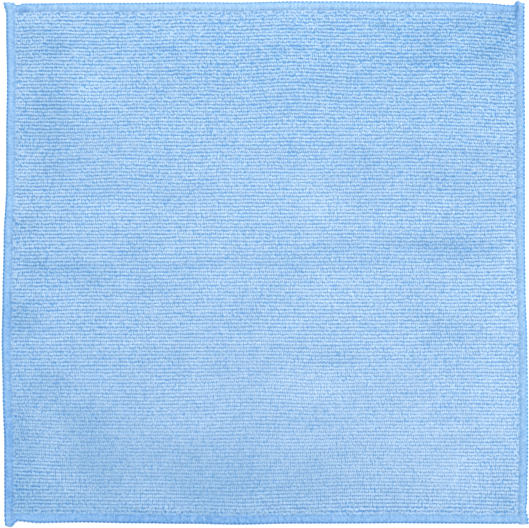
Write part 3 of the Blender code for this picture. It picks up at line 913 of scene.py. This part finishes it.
def overlock(form, side, material):
    """The sewn edge of one side."""
    strands = Strands(np.random.default_rng(SEAM_SEED + SIDES.index(side)))
    reach = HALF - (SIDE_SEAM_END if side.axis == 0 else OTHER_SEAM_END)
    for go, come in LOOPER_WAYS:
        loopers(form, side, strands, reach, go, come)
    chain(form, side, strands, BEADS, HALF - BEADS.inset * MM, side.bead_tint)
    chain(form, side, strands, NEEDLE, reach - NEEDLE_END, NEEDLE_TINT)
    return strands.piece(f"overlock_{side.name}", material)


def thread_ends(form, material):
    """The cut ends of the sewing thread at two corners."""
    strands = Strands(np.random.default_rng(THREAD_SEED))
    for end in THREAD_ENDS:
        given = np.arange(len(end.points))
        along = np.linspace(0, given[-1], THREAD_STEPS)
        path = np.stack([np.interp(along, given, way) for way in np.array(end.points).T * MM], -1)
        thick = np.full((1, THREAD_STEPS), end.thick * MM)
        strands.add(path[None], upwards(THREAD_STEPS), thick, thick, THREAD_TINT, 0.0)
    return strands.piece("thread_ends", material)


def set_inputs(tree, node, inputs):
    """Gives inputs their values, or links them to the outputs of other nodes."""
    for key, value in inputs.items():
        if isinstance(value, bpy.types.NodeSocket):
            tree.links.new(value, node.inputs[key])
        else:
            node.inputs[key].default_value = value


def add_node(tree, kind, inputs=None, **settings):
    """A new node of a kind, with its settings and inputs."""
    node = tree.nodes.new(kind)
    for key, value in settings.items():
        setattr(node, key, value)
    set_inputs(tree, node, inputs or {})
    return node


def new_group(name, inputs, outputs):
    """A shader node group with the sockets given, its inputs' values, and its output node."""
    group = bpy.data.node_groups.new(name, "ShaderNodeTree")
    for socket_name, kind, value in inputs:
        kind = "NodeSocket" + kind
        socket = group.interface.new_socket(name=socket_name, in_out="INPUT", socket_type=kind)
        socket.default_value = value
    for socket_name, kind in outputs:
        kind = "NodeSocket" + kind
        group.interface.new_socket(name=socket_name, in_out="OUTPUT", socket_type=kind)
    return group, add_node(group, "NodeGroupInput").outputs, add_node(group, "NodeGroupOutput")


def fibre_group():
    """Fine fibres: an uneven value from 0 to 1, and a bump's height."""
    group, given, out = new_group(
        "fibres",
        [("Closeness", "Vector", PILE_YARN.fibres)],
        [("Grain", "Float"), ("Height", "Float")],
    )
    place = add_node(group, "ShaderNodeTexCoord").outputs["Object"]
    stretched = add_node(
        group, "ShaderNodeVectorMath", {0: place, 1: given["Closeness"]}, operation="MULTIPLY"
    ).outputs[0]
    hairs = add_node(group, "ShaderNodeTexNoise", {
        "Vector": stretched, "Scale": 1.0, "Detail": HAIR_DETAIL, "Distortion": HAIR_DISTORTION,
    }).outputs["Fac"]
    tufts = add_node(group, "ShaderNodeTexNoise", {
        "Vector": place, "Scale": TUFTS, "Detail": TUFT_DETAIL,
    }).outputs["Fac"]
    both = add_node(
        group, "ShaderNodeMix", {"Factor": TUFT_SHARE, "A": hairs, "B": tufts}, data_type="FLOAT"
    ).outputs[0]
    spread = add_node(group, "ShaderNodeMapRange", {
        "Value": both, "From Min": GRAIN_FROM, "From Max": GRAIN_TO,
    })
    set_inputs(group, out, {"Grain": spread.outputs[0], "Height": hairs})
    return group


def math_node(tree, operation, *values):
    """The result of a sum of the kind given."""
    inputs = dict(enumerate(values))
    return add_node(tree, "ShaderNodeMath", inputs, operation=operation).outputs[0]


def knit_group():
    """Knit stitches: rows of small chevrons, as a height from 0 up."""
    group, given, out = new_group(
        "knit", [("Wale", "Float", LOOP_PITCH), ("Course", "Float", ROW_PITCH / 2)], [("Height", "Float")]
    )
    place = add_node(group, "ShaderNodeTexCoord").outputs["Object"]
    parts = add_node(group, "ShaderNodeSeparateXYZ", {0: place}).outputs
    wales = math_node(group, "DIVIDE", parts["X"], given["Wale"])
    off_centre = math_node(group, "SUBTRACT", math_node(group, "FRACT", wales), 0.5)
    from_wale = math_node(group, "ABSOLUTE", off_centre)
    courses = math_node(group, "DIVIDE", parts["Y"], given["Course"])
    stitch = math_node(group, "PINGPONG", math_node(group, "ADD", courses, from_wale), 0.5)
    from_leg = math_node(group, "MULTIPLY_ADD", from_wale, 4.0, -1.0)
    leg = math_node(group, "SUBTRACT", 1.0, math_node(group, "ABSOLUTE", from_leg))
    set_inputs(group, out, {"Height": math_node(group, "MULTIPLY_ADD", leg, 0.5, stitch)})
    return group


def twist_group():
    """The twist of a sewing thread, as a height from 0 to 1."""
    group, given, out = new_group("twist", [("Turns", "Float", TWIST)], [("Height", "Float")])
    place = add_node(group, "ShaderNodeTexCoord").outputs["Object"]
    bands = add_node(group, "ShaderNodeTexWave", {
        "Vector": place, "Scale": given["Turns"], "Distortion": TWIST_DISTORTION, "Detail": TWIST_DETAIL,
    }, bands_direction="DIAGONAL")
    set_inputs(group, out, {"Height": bands.outputs["Fac"]})
    return group


def yarn_tint_group():
    """Yarn colour: mixed towards painted shade where rise is low, as at a loop's root, and lighter or
    darker by tone, which holds painted light and shade too, and by grain.
    """
    group, given, out = new_group(
        "yarn_tint",
        [
            ("Light", "Color", (*PILE_YARN.light, 1)), ("Deep", "Color", (*PILE_YARN.deep, 1)),
            ("Weights", "Vector", PILE_YARN.weights), ("Mottle", "Float", PILE_YARN.mottle),
            ("Grain", "Float", GRAIN_MIDDLE),
        ],
        [("Color", "Color")],
    )
    rise = add_node(group, "ShaderNodeAttribute", attribute_name="rise").outputs["Fac"]
    tone = add_node(group, "ShaderNodeAttribute", attribute_name="tone").outputs["Fac"]
    # painted shade: the colour goes over to the shade colour where rise is low
    mix = add_node(group, "ShaderNodeMix", {
        "Factor": rise, "A": given["Deep"], "B": given["Light"],
    }, data_type="RGBA").outputs["Result"]
    centred = math_node(group, "SUBTRACT", given["Grain"], GRAIN_MIDDLE)
    shade = math_node(group, "MULTIPLY_ADD", centred, given["Mottle"], tone)
    factor = add_node(
        group, "ShaderNodeVectorMath", {0: shade, 1: given["Weights"], 2: (1.0, 1.0, 1.0)},
        operation="MULTIPLY_ADD",
    ).outputs[0]
    shaded = add_node(group, "ShaderNodeVectorMath", {0: mix, 1: factor}, operation="MULTIPLY")
    set_inputs(group, out, {"Color": shaded.outputs[0]})
    return group


def yarn_material(yarn, tint, fibres, relief):
    """A yarn's material: its tint, the grain of its fibres, and the relief of its twist or knit."""
    material = bpy.data.materials.new(yarn.name)
    material.use_nodes = True
    tree = material.node_tree
    grain = add_node(tree, "ShaderNodeGroup", {"Closeness": yarn.fibres}, node_tree=fibres).outputs
    colour = add_node(tree, "ShaderNodeGroup", {
        "Light": (*yarn.light, 1), "Deep": (*yarn.deep, 1), "Weights": yarn.weights,
        "Mottle": yarn.mottle, "Grain": grain["Grain"],
    }, node_tree=tint)
    rough = add_node(tree, "ShaderNodeMapRange", {
        "Value": grain["Grain"], "To Min": yarn.rough - SMOOTHER, "To Max": yarn.rough + ROUGHER,
    })
    normal = add_node(tree, "ShaderNodeBump", {
        "Height": grain["Height"], "Strength": BUMP, "Distance": HAIR_HEIGHT,
    }).outputs["Normal"]
    if relief:
        height = add_node(tree, "ShaderNodeGroup", node_tree=relief).outputs["Height"]
        normal = add_node(tree, "ShaderNodeBump", {
            "Height": height, "Strength": BUMP, "Distance": yarn.relief_depth, "Normal": normal,
        }).outputs["Normal"]
    set_inputs(tree, tree.nodes["Principled BSDF"], {
        "Base Color": colour.outputs["Color"], "Roughness": rough.outputs[0], "Normal": normal,
        "Sheen Weight": yarn.sheen, "Sheen Roughness": SHEEN_ROUGH, "Specular IOR Level": SHINE,
    })
    return material


def pale_floor():
    """The floor that the cloth lies on."""
    bpy.ops.mesh.primitive_plane_add(size=FLOOR_SIZE, location=(0, 0, -FLOOR_DEPTH))
    floor = bpy.context.object
    floor.name = "floor"
    paper = bpy.data.materials.new("pale_floor")
    paper.use_nodes = True
    set_inputs(paper.node_tree, paper.node_tree.nodes["Principled BSDF"], {
        "Base Color": (FLOOR_GREY, FLOOR_GREY, FLOOR_GREY, 1), "Roughness": FLOOR_ROUGH,
    })
    floor.data.materials.append(paper)
    return floor


def studio_light():
    """Even white light from all round, and one large softbox above the far right."""
    world = bpy.data.worlds.new("studio")
    world.use_nodes = True
    background = world.node_tree.nodes["Background"]
    set_inputs(world.node_tree, background, {"Color": (1, 1, 1, 1), "Strength": WORLD})
    bpy.context.scene.world = world
    lamp = bpy.data.lights.new("softbox", "AREA")
    lamp.shape = "RECTANGLE"
    lamp.size, lamp.size_y = KEY_SIZE
    lamp.energy = KEY
    box = bpy.data.objects.new("softbox", lamp)
    box.location = KEY_PLACE
    box.rotation_euler = Vector(KEY_PLACE).to_track_quat("Z", "Y").to_euler()
    bpy.context.scene.collection.objects.link(box)


def camera():
    """The camera straight above, at the height from which the frame covers what the photo does."""
    data = bpy.data.cameras.new("straight_above")
    data.lens = LENS
    data.sensor_width = SENSOR
    cam = bpy.data.objects.new("straight_above", data)
    cam.location = (*AIM, PIXELS * PIXEL * LENS / SENSOR + CLOTH_TOP)
    bpy.context.scene.collection.objects.link(cam)
    bpy.context.scene.camera = cam


def main():
    form = Form(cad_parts["cloth"])
    tint = yarn_tint_group()
    fibres = fibre_group()
    pile_yarn = yarn_material(PILE_YARN, tint, fibres, None)
    ground_yarn = yarn_material(GROUND_YARN, tint, fibres, knit_group())
    sewing_yarn = yarn_material(SEWING_YARN, tint, fibres, twist_group())
    ground = ground_sheet(form, ground_yarn)
    loops = pile(form, pile_yarn)
    seams = [overlock(form, side, sewing_yarn) for side in SIDES]
    seams.append(thread_ends(form, sewing_yarn))
    floor = pale_floor()
    studio_light()
    for piece in [ground, *loops, *seams]:
        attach(piece, "root")
    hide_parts("cloth")
    camera()
    bpy.context.scene.view_settings.view_transform = "Standard"


main()
